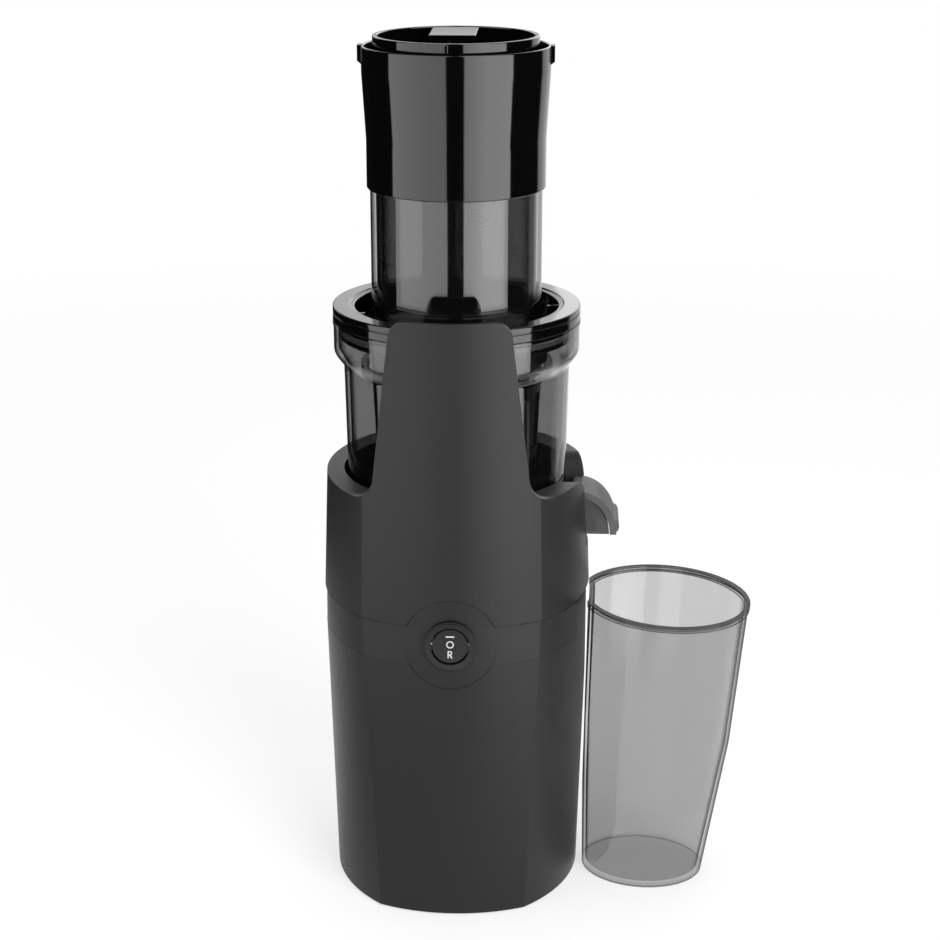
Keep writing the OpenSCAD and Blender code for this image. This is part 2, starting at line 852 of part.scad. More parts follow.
module output_bearings() {
    color(steel) {
        ring(bearing_r, shaft_r + slip, box_lid_z, box_lid_z + bearing_w);
        ring(bearing_r, shaft_r + slip, tower_top - bearing_w, tower_top);
    }
}

module output_shaft() {
    color(steel) {
        disc(shaft_r, stage2_z, drum_z - 1);
        disc(shaft_r + 2, box_lid_z - 2, box_lid_z - 0.2);
        translate([0, 0, drum_z - 2]) cylinder(r = hex_w / sqrt(3), h = hex_top - drum_z + 2, $fn = 6);
    }
}

module output_gear() {
    color(steel) gear(gear_m, wheel_teeth, stage2_z, gear_w, shaft_r + slip);
}

module shaft_seal() {
    color(rubber_black) {
        ring(seal_r, shaft_r + slip, deck_under, deck_z - 0.4);
        ring(seal_r + 3, shaft_r + 2, deck_under - 2, deck_under);
    }
}

module control_board() {
    color(board_green) difference() {
        translate([-board_w / 2, board_y - board_t, board_z]) cube([board_w, board_t, board_h]);
        at_board_holes() rod_y(board_screw_r + slip, -far, 0);
    }
}

module board_screws() {
    color(steel) at_board_holes() {
        rod_y(board_screw_r, board_y - board_t - 8, board_y + 0.5);
        rod_y(2 * board_screw_r, board_y, board_y + 1.8);
    }
}

module capacitor() {
    color(gloss_black) translate([-12, board_y + 5, board_z + 30]) rod_x(5, 0, 24);
}

module terminal_block() {
    color(nylon) difference() {
        translate([-14, board_y, board_z + 4]) cube([28, 9, 8]);
        for (i = [-2:2]) translate([i * 5, 0, board_z + 8]) rod_y(1.3, board_y + 3, board_y + 12);
    }
}

// Gland where the mains lead enters, low at the back
module cord_bushing() {
    color(rubber_black) translate([0, 0, bushing_z]) difference() {
        union() {
            rod_y(bushing_r, bushing_wall_y - 6, bushing_wall_y + 5);
            rod_y(bushing_r + 2.5, bushing_wall_y + 0.2, bushing_wall_y + 3);
        }
        rod_y(bushing_r / 2, 0, far);
    }
}

// Contactless sensor under the deck that feels the magnet in the drum's floor
module lock_sensor() {
    size = [12, 10, 7];
    color(nylon) translate([magnet_at[0] - size[0] / 2, magnet_at[1] - size[1] / 2, deck_under - size[2]])
        cube(size);
}

module switch_body() {
    color(gloss_black) translate([0, 0, switch_z]) difference() {
        rod_y(bezel_r - bezel_lip - slip, face_y + bezel_seat + 0.2, face_y + switch_depth);
        rod_y(bezel_hole_r, face_y, pivot_y + 5);
        translate([0, pivot_y, 0]) rod_x(rocker_pin_r + slip, 1.6 - bezel_r, bezel_r - 1.6);
    }
}

module switch_bezel() {
    color(dark_body) translate([0, 0, switch_z]) difference() {
        union() {
            rod_y(bezel_r, face_y - 0.9, face_y + bezel_seat);
            rod_y(bezel_r - 0.8, face_y - 1.5, face_y);
        }
        rod_y(bezel_hole_r, face_y - 5, face_y + 5);
    }
}

module rocker_pin() {
    color(steel) translate([0, pivot_y, switch_z]) rod_x(rocker_pin_r, 1.8 - bezel_r, bezel_r - 1.8);
}

module rocker() {
    color(gloss_black) translate([0, 0, switch_z]) difference() {
        intersection() {
            rod_y(rocker_r, rocker_face_y, pivot_y + 3);
            translate([0, pivot_y, 0]) sphere(r = bezel_hole_r - fit);
        }
        translate([0, pivot_y, 0]) rod_x(rocker_pin_r + slip, -bezel_r, bezel_r);
    }
}

// Plain switch marks: a bar, a ring and a letter for reverse
module rocker_marks() {
    color(nylon) translate([0, rocker_face_y, switch_z]) rotate([90, 0, 0]) linear_extrude(height = 0.15) {
        translate([-2.2, 4.9]) square([4.4, 0.7]);
        translate([0, 0.9]) difference() {
            circle(r = 2);
            circle(r = 1.4);
        }
        translate([-1.3, -6.6]) {
            square([0.65, 4]);
            translate([1.2, 2.8]) difference() {
                circle(r = 1.2);
                circle(r = 0.6);
                translate([-3, -3]) square([2.9, 6]);
            }
            translate([0, 3.4]) square([1.25, 0.6]);
            translate([0, 1.6]) square([1.25, 0.6]);
            polygon([[0.9, 1.8], [1.6, 1.8], [2.6, 0], [1.9, 0]]);
        }
    }
}

// Half profile of the drum, with a bead at the collar's top edge
module drum_profile() {
    shoulder_z = drum_top - collar_h;
    low_z = shoulder_z - shoulder_h;
    step = collar_r - drum_top_r;
    polygon(concat(
        [[hub_r - hub_wall, drum_z], [drum_base_r - 3, drum_z]],
        arc([drum_base_r - 3, drum_z + 3], 3, -90, 0, 6),
        [[drum_top_r, low_z]],
        [for (i = [1:8]) let (t = i / 8)
            [drum_top_r + step * (1 - cos(180 * t)) / 2, low_z + shoulder_h * t]],
        [[collar_r, drum_top - drum_bead_h], [collar_r + drum_bead, drum_top - drum_bead_h + drum_bead],
            [collar_r + drum_bead, drum_top], [collar_r - drum_wall, drum_top],
            [collar_r - drum_wall, shoulder_z + 0.6], [drum_top_r - drum_wall, low_z + 1],
            [drum_base_r - drum_wall, drum_floor_z], [hub_r, drum_floor_z], [hub_r, hub_top],
            [hub_r - hub_wall, hub_top]]));
}

// Window through the drum wall into an outlet
module outlet_window() {
    half_w = channel_half_w - channel_wall;
    translate([outlet_x - 6, -half_w, spout_z + 2]) cube([20, 2 * half_w, spout_h - 8]);
}

module drum() {
    color(smoky) difference() {
        union() {
            rotate_extrude() drum_profile();
            at_idlers() disc(idler_pin_r + 2, drum_floor_z - eps, brush_gear_z - 0.2);
        }
        outlet_window();
        rotate(90) outlet_window();
        at_idlers() disc(idler_pin_r + slip, drum_z + 1, far);
        translate([magnet_at[0], magnet_at[1], 0]) disc(magnet_r + slip, drum_z - 1, drum_z + 2);
    }
}

module drum_seal() {
    color(silicone) ring(hub_r + 2.6, hub_r + slip, drum_floor_z, drum_floor_z + 1.2);
}

module lock_magnet() {
    color(dark_steel) translate([magnet_at[0], magnet_at[1], 0]) disc(magnet_r, drum_z + 0.2, drum_z + 2);
}

// Side view of an outlet's hood, a quarter of an oval
module hood_face(inset, z_low) {
    a = spout_reach - hood_x - inset;
    b = spout_h - inset;
    polygon(concat([[hood_x, z_low]],
        [for (i = [0:16]) let (t = 90 * i / 16) [hood_x + a * cos(t), spout_z + b * sin(t)]],
        [[outlet_x - 8, spout_z + b], [outlet_x - 8, z_low]]));
}

// The drum's outside, which the outlets' inner ends follow
module drum_cone(gap) {
    low_z = drum_top - collar_h - shoulder_h;
    rotate_extrude() polygon([[0, drum_z - 5], [drum_base_r + gap, drum_z - 5],
        [drum_base_r + gap, drum_z + 3], [drum_top_r + gap, low_z], [0, low_z]]);
}

module along_spout(half_w) {
    translate([0, half_w, 0]) rotate([90, 0, 0]) linear_extrude(height = 2 * half_w) children();
}

module at_hinge() {
    translate([hinge_x, 0, hinge_z]) children();
}

module at_flap_pin() {
    translate([flap_x, 0, flap_z]) children();
}

// Channel with an open nose, whose roof lies inset below the hood's outline
module spout_channel(inset) {
    inner_half_w = channel_half_w - channel_wall;
    difference() {
        along_spout(channel_half_w) hood_face(inset, spout_z);
        along_spout(inner_half_w) hood_face(inset + channel_wall, spout_z + channel_wall);
        translate([mouth_x, -inner_half_w, spout_z - 1]) cube([far, 2 * inner_half_w, spout_h + 5]);
        drum_cone(slip);
    }
}

module juice_spout() {
    color(smoky) difference() {
        union() {
            spout_channel(cap_flange_t + fit);
            for (sy = [-1, 1]) translate([0, sy * (channel_half_w - channel_wall / 2), 0]) at_hinge()
                rod_y(barrel_r + 0.1, -channel_wall / 2, channel_wall / 2);
        }
        at_hinge() {
            rod_y(hinge_r + slip, -far, far);
            rod_y(barrel_r + 0.5, channel_wall - channel_half_w, channel_half_w - channel_wall);
        }
    }
}

// Pins of the spout's cap and of the pulp flap
module hinge_pins() {
    color(steel) {
        at_hinge() rod_y(hinge_r, -channel_half_w, channel_half_w);
        rotate(90) at_flap_pin() rod_y(hinge_r, -channel_half_w, channel_half_w);
    }
}

// Hood over the spout: a top with two side flanges, a lip along its nose and a hinge barrel
module spout_cap() {
    color(pale_smoky) difference() {
        union() {
            difference() {
                along_spout(spout_half_w) hood_face(0, spout_z);
                translate([-far, -far, 0]) cube([far + hinge_x + barrel_r + 0.4, 2 * far, far]);
            }
            difference() {
                along_spout(barrel_half_w) hood_face(0, spout_z);
                translate([-far, -far, 0]) cube([far + hinge_x, 2 * far, far]);
            }
            at_hinge() rod_y(barrel_r, -barrel_half_w, barrel_half_w);
            translate([lip_at[0], 0, lip_at[1]]) rod_y(lip_r, -spout_half_w, spout_half_w);
        }
        at_hinge() rod_y(hinge_r + slip, -far, far);
        difference() {
            union() {
                along_spout(spout_half_w - cap_flange_w) hood_face(cap_t, spout_z - 1);
                along_spout(spout_half_w + 1) hood_face(cap_flange_t, spout_z - 1);
            }
            at_hinge() rod_y(barrel_r, -barrel_half_w, barrel_half_w);
        }
    }
}

module spout_cap_seal() {
    seal_t = 1.2;
    color(silicone) intersection() {
        difference() {
            along_spout(barrel_half_w) hood_face(cap_t, spout_z + 3);
            along_spout(spout_half_w) hood_face(cap_t + seal_t, spout_z - 1);
        }
        translate([mouth_x + 2.4, -far / 2, spout_z + 3]) cube([far, far, spout_h - 12]);
    }
}

// Pulp channel at the back, with a flap that hangs across its mouth
module pulp_outlet() {
    color(smoky) rotate(90) difference() {
        spout_channel(cap_t + fit);
        at_flap_pin() rod_y(hinge_r + slip, -far, far);
    }
}

module pulp_flap() {
    flap_t = 1.6;
    color(silicone) rotate(90) difference() {
        union() {
            at_flap_pin() rod_y(barrel_r - 0.1, -barrel_half_w, barrel_half_w);
            translate([flap_x - flap_t / 2, -barrel_half_w, spout_z + 1])
                cube([flap_t, 2 * barrel_half_w, flap_z - spout_z - 1.6]);
        }
        at_flap_pin() rod_y(hinge_r + slip, -far, far);
    }
}

module idler_pins() {
    color(steel) at_idlers() disc(idler_pin_r, drum_z + 1, brush_gear_top + 1.2);
}

module idler(sx) {
    color(nylon) translate([sx * idler_d, 0, 0])
        gear(brush_m, idler_teeth, brush_gear_z, brush_gear_w, idler_pin_r + slip, 180 / idler_teeth);
}

// Half profile of a cone wall between two heights
module cone_wall(r0, r1, z0, z1, t) {
    polygon([[r0 - t, z0], [r0, z0], [r1, z1], [r1 - t, z1]]);
}

// Lug that steadies the strainer's rim in the drum
module strainer_lug() {
    foot_z = carrier_top + 0.8;
    top = trough_z - 1;
    rotate([90, 0, 0]) translate([0, 0, -1.5]) linear_extrude(height = 3)
        polygon([[strainer_rim_r - 0.5, foot_z], [lug_r - 2.5, foot_z], [lug_r, foot_z + 3], [lug_r, top],
            [strainer_rim_r - 0.5, top]]);
}

module strainer_frame() {
    window_z = strainer_z + 7;
    color(rubber_black) {
        difference() {
            rotate_extrude() {
                cone_wall(strainer_base_r, strainer_rim_r, strainer_z, strainer_top, strainer_wall);
                translate([hub_r + 7, strainer_z])
                    square([strainer_base_r - hub_r - 7.5, strainer_floor_t]);
                translate([strainer_rim_r - strainer_wall, strainer_top - eps])
                    square([strainer_wall, trough_z - seat_gap - strainer_top]);
            }
            for (i = [0:11], k = [0:1]) rotate(i * 30 + 15)
                translate([strainer_base_r - 11, -6.5, window_z + k * 36]) cube([20, 13, 30]);
            rotate(45) translate([24, -7, strainer_z - 1]) cube([12, 14, 5]);
        }
        for (a = [-12, 108, 228]) rotate(a) strainer_lug();
        for (sy = [-1, 1]) intersection() {
            ring(29, 18, drum_floor_z, strainer_z + eps);
            translate([-9, sy > 0 ? 10 : -40, 0]) cube([18, 30, far]);
        }
    }
}

module strainer_mesh() {
    inset = strainer_wall + eps;
    color(steel) rotate_extrude()
        cone_wall(strainer_base_r - inset, strainer_rim_r - inset, strainer_z + strainer_floor_t,
            strainer_top, sheet_t);
}

module brush_carrier() {
    arm_z = brush_gear_top - 1;
    color(smoky) difference() {
        union() {
            disc(ring_r + 5, brush_gear_z, brush_gear_top);
            disc(carrier_r, brush_gear_top - 2, brush_gear_top);
            ring(carrier_r, carrier_r - carrier_t, carrier_top - carrier_ring_h, carrier_top);
            for (i = [0:3]) rotate(i * 90 + 45) translate([carrier_r - 2.8, -3, arm_z])
                cube([2.4, 6, carrier_top - carrier_ring_h / 2 - arm_z]);
        }
        translate([0, 0, brush_gear_z - 1]) linear_extrude(height = brush_gear_w + 2) rotate(180 / ring_teeth)
            polygon(gear_outline(brush_m, ring_teeth, -gear_play, 1.2, 0.95));
        for (i = [0:3]) rotate(i * 90 + 45) wiper(slip);
    }
}

// Blade that sweeps the drum's wall, set into an arm of the carrier
module wiper(gap) {
    x0 = carrier_r - 1.4;
    z0 = brush_gear_top + 3;
    translate([x0, -wiper_t / 2 - gap, z0])
        cube([carrier_gap + 0.9, wiper_t + 2 * gap, carrier_top - 12 - z0]);
}

module brush_wipers() {
    color(silicone) for (i = [0:3]) rotate(i * 90 + 45) wiper(0);
}

// Core of the auger: the sun gear, a neck between the idlers, the socket for the drive hexagon and
// the flange under the screw
module auger_hub() {
    color(steel) difference() {
        union() {
            gear(brush_m, sun_teeth, brush_gear_z, brush_gear_w, hub_r);
            disc(auger_neck_r, brush_gear_top - 1, brush_gear_top + 1);
            disc(auger_hub_r, brush_gear_top + seat_gap + 0.1, auger_hub_top);
            disc(auger_hub_r + 6, flange_z, screw_z);
        }
        disc(hub_r + slip, 0, hub_top + 0.6);
        translate([0, 0, hub_top]) cylinder(r = (hex_w + 0.2) / sqrt(3), h = hex_top - hub_top + 1, $fn = 6);
    }
}

module auger_screw() {
    flight_h = auger_top - screw_z - 2;
    flight_r = 50;
    color(rubber_black) difference() {
        union() {
            translate([0, 0, screw_z]) cylinder(r1 = 24, r2 = 6, h = auger_top - screw_z, $fn = 32);
            intersection() {
                translate([0, 0, screw_z]) linear_extrude(height = flight_h, twist = -360 * auger_turns,
                    slices = 48, $fn = 16)
                    for (i = [0:1]) rotate(i * 180) polygon([[0, -3], [flight_r, -7], [flight_r, 7], [0, 3]]);
                rotate_extrude($fn = 40) polygon([[0, strainer_z], [strainer_base_r - 3.2, strainer_z],
                    [strainer_rim_r - 3.4, strainer_top], [8, auger_top - 1], [0, auger_top - 1]]);
            }
        }
        translate([0, 0, screw_z - 1])
            cylinder(r = auger_hub_r + 0.1, h = auger_hub_top - screw_z + 1.2, $fn = 48);
    }
}

// Ring with a flat top band and a fine groove round its rim, a trough, a skirt for the seal and ribs
module lid() {
    skirt_r = collar_r - drum_wall - 0.6;
    g0 = lid_groove_z;
    g1 = lid_groove_z + lid_groove;
    color(gloss_black) rotate_extrude() union() {
        polygon([[band_r, lid_z], [lid_r, lid_z], [lid_r, g0], [lid_r - lid_groove, g0],
            [lid_r - lid_groove, g1], [lid_r, g1], [lid_r, lid_top - 0.8], [lid_r - 0.8, lid_top],
            [band_r + 0.8, lid_top], [band_r, lid_top - 0.8]]);
        translate([skirt_r - 2.4, lid_z - skirt_h]) difference() {
            square([2.4, skirt_h + eps]);
            translate([1.2, 2.9]) square([2, 3.2]);
        }
        translate([band_r - band_wall, trough_z]) square([band_wall + eps, lid_top - 1 - trough_z]);
        translate([bore_r, trough_z]) square([band_r - bore_r, trough_t]);
    }
    color(gloss_black) intersection() {
        ring(band_r - band_wall + 0.1, chute_r + 4, chute_z - eps, lid_top - 4);
        for (i = [0:7]) rotate(i * 45 + 12) translate([0, -0.8, chute_z - eps]) cube([lid_r, 1.6, far]);
    }
}

module lid_seal() {
    color(silicone) ring(collar_r - drum_wall - 0.3, collar_r - drum_wall - 1.75, lid_z - 6, lid_z - 3);
}

module feed_chute() {
    foot = chute_foot_r;
    color(smoky) rotate_extrude() polygon(concat(
        [[bore_r, chute_z], [chute_r + foot, chute_z]],
        arc([chute_r + foot, chute_z + foot + 2], foot, -90, -180, 5),
        [[chute_r, chute_top], [bore_r, chute_top]]));
}

module chute_sleeve() {
    bend_z = sleeve_z + 25;
    flare_z = sleeve_top - 13;
    rim_wall = 1.6;
    ear = [2, 8, 9.5];
    color(gloss_black) {
        rotate_extrude() polygon(concat(
            [[chute_r, sleeve_z], [sleeve_r - 1, sleeve_z]],
            arc([sleeve_r - 1, sleeve_z + 1], 1, -90, 0, 4),
            [[sleeve_r, bend_z], [sleeve_rim_r, flare_z], [sleeve_rim_r, sleeve_top],
                [sleeve_rim_r - rim_wall, sleeve_top], [sleeve_rim_r - rim_wall, flare_z],
                [chute_r, bend_z + 6]]));
        for (sx = [-1, 1])
            translate([sx * (sleeve_rim_r + 0.8) - ear[0] / 2, -ear[1] / 2, sleeve_top - ear[2]]) cube(ear);
    }
}

module pusher_tube() {
    color(pale_smoky) difference() {
        disc(pusher_r, pusher_z, cap_z);
        disc(pusher_r - pusher_wall, pusher_z + pusher_floor_t, cap_z + 1);
    }
}

// Ring with a grip across it, a deep finger well on each side of the grip, and a column down the tube
module pusher_cap() {
    color(gloss_black) {
        difference() {
            disc(pusher_cap_r, cap_z, cap_top);
            for (side = [0, 1]) translate([0, 0, cap_top - well_depth]) linear_extrude(height = far)
                intersection() {
                    circle(r = pusher_cap_r - cap_wall);
                    translate([bar_x + (side ? bar_half_w : -bar_half_w - far), -far / 2]) square([far, far]);
                }
            translate([bar_x - bar_half_w - 1, grip_y[0], cap_top - grip_depth])
                cube([2 * bar_half_w + 2, grip_y[1] - grip_y[0], far]);
        }
        translate([rib_x, grip_y[0] - 0.5, cap_top - grip_depth - 0.5])
            cube([rib_w, grip_y[1] - grip_y[0] + 1, grip_depth]);
        translate([rib_x, -pusher_cap_r - 0.4, cap_z]) cube([rib_w, 2, pusher_cap_h - 0.8]);
        translate([bar_x, 0, 0]) ring(core_r, core_r - 2, pusher_z + pusher_floor_t, cap_z + 1);
    }
}

module cup_form(inset, lift, z_top) {
    hull() {
        slab(oval(cup_base, inset), lift);
        slab(oval(cup_middle, inset), cup_h * 0.5);
        slab(oval(cup_rim, inset), z_top - eps);
    }
}

module juice_cup() {
    color(pale_smoky) difference() {
        union() {
            cup_form(0, 0, cup_h);
            intersection() {
                cup_form(-cup_bead, 0, cup_h);
                block(cup_h - cup_bead_h, cup_h + 1);
            }
        }
        difference() {
            cup_form(cup_wall, cup_floor, cup_h + eps);
            body_form(-cup_gap - cup_wall, 1);
        }
        body_form(-cup_gap, 1);
    }
}

lower_shell();
upper_housing();
bottom_cover();
rubber_feet();
rest_pad();
base_screws();
body_screws();
motor_bracket();
bracket_screws();
motor_can();
motor_end_cap();
motor_bearing();
motor_shaft();
motor_pinion();
cooling_fan();
gearbox_housing();
gearbox_lid();
gearbox_screws();
counter_pin();
counter_gear();
output_bearings();
output_shaft();
output_gear();
shaft_seal();
control_board();
board_screws();
capacitor();
terminal_block();
cord_bushing();
lock_sensor();
switch_body();
switch_bezel();
rocker_pin();
rocker();
rocker_marks();
drum();
drum_seal();
lock_magnet();
juice_spout();
hinge_pins();
spout_cap();
spout_cap_seal();
pulp_outlet();
pulp_flap();
idler_pins();
idler(-1);  // left_idler
idler(1);  // right_idler
strainer_frame();
strainer_mesh();
brush_carrier();
brush_wipers();
auger_hub();
auger_screw();
lid();
lid_seal();
feed_chute();
chute_sleeve();
pusher_tube();
pusher_cap();
juice_cup();
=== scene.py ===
"""Looks of the cold press juicer: finishes, smooth copies of its solids, studio and camera."""

import json
import math

import bmesh
import bpy
from mathutils import Matrix, Vector

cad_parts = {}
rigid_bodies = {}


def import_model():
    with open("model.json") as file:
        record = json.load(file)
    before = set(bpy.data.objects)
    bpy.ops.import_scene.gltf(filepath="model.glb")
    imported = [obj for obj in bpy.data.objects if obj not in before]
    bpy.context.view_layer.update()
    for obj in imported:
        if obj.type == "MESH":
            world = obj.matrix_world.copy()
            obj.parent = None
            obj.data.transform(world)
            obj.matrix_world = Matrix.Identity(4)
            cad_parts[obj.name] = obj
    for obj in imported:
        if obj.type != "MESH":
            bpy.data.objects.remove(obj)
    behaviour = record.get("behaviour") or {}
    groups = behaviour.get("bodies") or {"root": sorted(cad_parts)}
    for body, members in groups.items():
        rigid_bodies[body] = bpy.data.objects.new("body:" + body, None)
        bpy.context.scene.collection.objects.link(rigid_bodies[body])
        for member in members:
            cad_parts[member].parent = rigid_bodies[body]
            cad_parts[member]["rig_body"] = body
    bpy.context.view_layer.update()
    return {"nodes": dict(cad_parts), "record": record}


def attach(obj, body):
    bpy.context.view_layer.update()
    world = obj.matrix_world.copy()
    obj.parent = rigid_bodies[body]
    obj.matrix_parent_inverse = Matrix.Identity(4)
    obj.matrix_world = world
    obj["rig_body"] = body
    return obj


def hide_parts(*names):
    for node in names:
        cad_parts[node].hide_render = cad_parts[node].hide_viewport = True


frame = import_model()
MM = 0.001  # a millimetre in metres

# Camera at the photograph's viewpoint, lengths in metres
AZIMUTH = math.radians(2.5)
ELEVATION = math.radians(18.15)
VIEW_DISTANCE = 1.114
LENS_MM = 79.2
SENSOR_MM = 36
AIM = Vector((0, 0, 0.229))
SIDE_STEP = 0.007  # the machine stands a little left of the frame's middle

towards_camera = Vector((
    math.sin(AZIMUTH) * math.cos(ELEVATION),
    -math.cos(AZIMUTH) * math.cos(ELEVATION),
    math.sin(ELEVATION)))
to_the_right = Vector((math.cos(AZIMUTH), math.sin(AZIMUTH), 0))
camera = bpy.data.objects.new("camera", bpy.data.cameras.new("camera"))
camera.data.lens = LENS_MM
camera.data.sensor_width = SENSOR_MM
camera.location = AIM + towards_camera * VIEW_DISTANCE + to_the_right * SIDE_STEP
camera.rotation_euler = (math.pi / 2 - ELEVATION, 0, AZIMUTH)
bpy.context.scene.collection.objects.link(camera)
bpy.context.scene.camera = camera

# Materials
WHITE = (1, 1, 1, 1)
GRAIN_SPAN = (0.3, 0.7)  # the part of a fine noise's range that a finish follows
HAZE_SPAN = (0.35, 0.75)  # the same for a cloudy one
FLOAT_A, FLOAT_B = 2, 3  # a Mix node's inputs for numbers
COLOUR_A, COLOUR_B, COLOUR_OUT = 6, 7, 2  # its inputs and output for colours


class Nodes:
    """A node tree, with short calls to add and join nodes."""

    def __init__(self, tree):
        self.tree = tree

    def add(self, kind, inputs=None, **settings):
        """Adds a node; each of its inputs takes a value or another node's output."""
        node = self.tree.nodes.new(kind)
        for key, value in settings.items():
            setattr(node, key, value)
        for key, value in (inputs or {}).items():
            if isinstance(value, bpy.types.NodeSocket):
                self.link(value, node.inputs[key])
            else:
                node.inputs[key].default_value = value
        return node

    def link(self, value, socket):
        """Joins an output to an input."""
        self.tree.links.new(value, socket)

    def place(self):
        """Where the point lies, in metres."""
        return self.add("ShaderNodeTexCoord").outputs["Object"]

    def math(self, operation, a, b=0.0):
        """Works out a value from one or two others."""
        return self.add("ShaderNodeMath", {0: a, 1: b}, operation=operation).outputs[0]

    def ramp(self, value, low, high, to_low, to_high):
        """Goes from to_low to to_high while the value goes from low to high."""
        inputs = {"Value": value, "From Min": low, "From Max": high, "To Min": to_low, "To Max": to_high}
        return self.add("ShaderNodeMapRange", inputs).outputs[0]

    def band(self, value, low, high, soft, top=1.0):
        """Is top while the value lies between low and high, and 0 outside, with soft ends."""
        up = self.ramp(value, low - soft, low + soft, 0.0, top)
        down = self.ramp(value, high - soft, high + soft, 1.0, 0.0)
        return self.math("MULTIPLY", up, down)

    def blend(self, share, first, second):
        """Goes from the first value to the second with the share."""
        inputs = {"Factor": share, FLOAT_A: first, FLOAT_B: second}
        return self.add("ShaderNodeMix", inputs, data_type="FLOAT").outputs[0]

    def plain_view(self, path):
        """Is 1 for what the camera sees itself or through clear plastic."""
        return self.math("MAXIMUM", path.outputs["Is Camera Ray"], path.outputs["Is Transmission Ray"])

    def mix_surface(self, share, first, second):
        """Makes the surface a mix of two shaders, with the given share of the second."""
        mix = self.add("ShaderNodeMixShader", {"Fac": share, 1: first, 2: second})
        self.link(mix.outputs[0], self.tree.nodes["Material Output"].inputs["Surface"])


def new_material(name):
    """A new material with its nodes and its main shader."""
    material = bpy.data.materials.new(name)
    material.use_nodes = True
    return material, Nodes(material.node_tree), material.node_tree.nodes["Principled BSDF"]


def noise(nodes, scale, detail, place=None):
    """Soft clouds from 0 to 1, laid out by the piece's own place or by the one that is given."""
    inputs = {"Vector": place or nodes.place(), "Scale": scale, "Detail": detail}
    return nodes.add("ShaderNodeTexNoise", inputs).outputs["Fac"]


def set_bump(nodes, shader, height, strength, depth):
    """Gives the surface the relief of a pattern, with its depth in metres."""
    bump = nodes.add("ShaderNodeBump", {"Height": height, "Strength": strength, "Distance": depth})
    nodes.link(bump.outputs["Normal"], shader.inputs["Normal"])


def mottle(nodes, shader, pattern, tone, darkest, lightest):
    """Lets the colour wander between two shares of its tone."""
    dark, light = ([c * share for c in tone] + [1] for share in (darkest, lightest))
    inputs = {"Factor": pattern, COLOUR_A: dark, COLOUR_B: light}
    mix = nodes.add("ShaderNodeMix", inputs, data_type="RGBA")
    nodes.link(mix.outputs[COLOUR_OUT], shader.inputs["Base Color"])


def vary_roughness(nodes, shader, pattern, span, smoothest, roughest):
    """Lets the roughness follow the given span of a pattern."""
    nodes.link(nodes.ramp(pattern, *span, smoothest, roughest), shader.inputs["Roughness"])


def grained_plastic(name, tone, roughness, gloss=0.5):
    """Moulded plastic with a fine eroded grain."""
    grain_mm = 0.35
    material, nodes, shader = new_material(name)
    cloud = noise(nodes, scale=14, detail=3)
    grain = noise(nodes, scale=1000 / grain_mm / 2, detail=2)
    mottle(nodes, shader, cloud, tone, darkest=0.94, lightest=1.06)
    vary_roughness(nodes, shader, grain, GRAIN_SPAN, roughness - 0.05, roughness + 0.05)
    set_bump(nodes, shader, grain, strength=0.12, depth=0.0001)
    shader.inputs["Specular IOR Level"].default_value = gloss
    return material


def gloss_plastic(name, tone, roughness=0.05):
    """Polished plastic, with the slight waviness and hazing of a handled moulding."""
    material, nodes, shader = new_material(name)
    wave = noise(nodes, scale=22, detail=1)
    haze = noise(nodes, scale=60, detail=4)
    mottle(nodes, shader, haze, tone, darkest=0.9, lightest=1.1)
    vary_roughness(nodes, shader, haze, HAZE_SPAN, roughness, roughness + 0.03)
    set_bump(nodes, shader, wave, strength=0.04, depth=0.002)
    return material


def clear_plastic(name, tone, face_alpha, edge_alpha, ior, closing=(0.66, 0.85), thick_and_shade_bands=(), even_gloss=0.0):
    """Tinted clear plastic: it lets the view through face on and closes up towards its edges.

    Over the range of closing, from face on at 0 to edge on at 1, it goes from face_alpha to edge_alpha.
    Each (low, high, alpha) band is a range of heights in mm where the wall closes up and darkens: where the
    plastic is thick, and as painted shade under ledges and along creases.
    With even_gloss, that share mirrors at every angle instead of more towards the edges.
    """
    roughness = 0.03
    height_blur = 0.2 * MM  # over which a height band begins and ends
    material, nodes, shader = new_material(name)
    wave = noise(nodes, scale=18, detail=1)
    haze = noise(nodes, scale=45, detail=4)
    mottle(nodes, shader, haze, tone, darkest=0.9, lightest=1.1)
    vary_roughness(nodes, shader, haze, HAZE_SPAN, roughness, roughness + 0.02)
    set_bump(nodes, shader, wave, strength=0.03, depth=0.002)
    facing = nodes.add("ShaderNodeLayerWeight", {"Blend": 0.5}).outputs["Facing"]
    alpha = nodes.ramp(facing, *closing, face_alpha, edge_alpha)
    height = nodes.add("ShaderNodeSeparateXYZ", {0: nodes.place()}).outputs["Z"]
    # Height bands that close the wall up: thick plastic, and painted shade under ledges and along creases
    for low, high, least in thick_and_shade_bands:
        closed = nodes.band(height, low * MM, high * MM, height_blur, least)
        alpha = nodes.math("MAXIMUM", alpha, closed)
    nodes.link(alpha, shader.inputs["Alpha"])
    shader.inputs["IOR"].default_value = ior
    if even_gloss:
        shader.inputs["Specular IOR Level"].default_value = 0
        mirror = nodes.add("ShaderNodeBsdfGlossy", {"Roughness": roughness}).outputs[0]
        nodes.mix_surface(even_gloss, shader.outputs[0], mirror)
    return material


def metal(name, tone, roughness):
    """Turned or brushed metal, with fine streaks."""
    streak_stretch = (1, 1, 40)
    material, nodes, shader = new_material(name)
    mapping = nodes.add("ShaderNodeMapping", {"Vector": nodes.place(), "Scale": streak_stretch})
    streaks = noise(nodes, scale=90, detail=3, place=mapping.outputs[0])
    mottle(nodes, shader, streaks, tone, darkest=0.85, lightest=1)
    vary_roughness(nodes, shader, streaks, GRAIN_SPAN, roughness - 0.08, roughness + 0.08)
    shader.inputs["Metallic"].default_value = 1
    return material


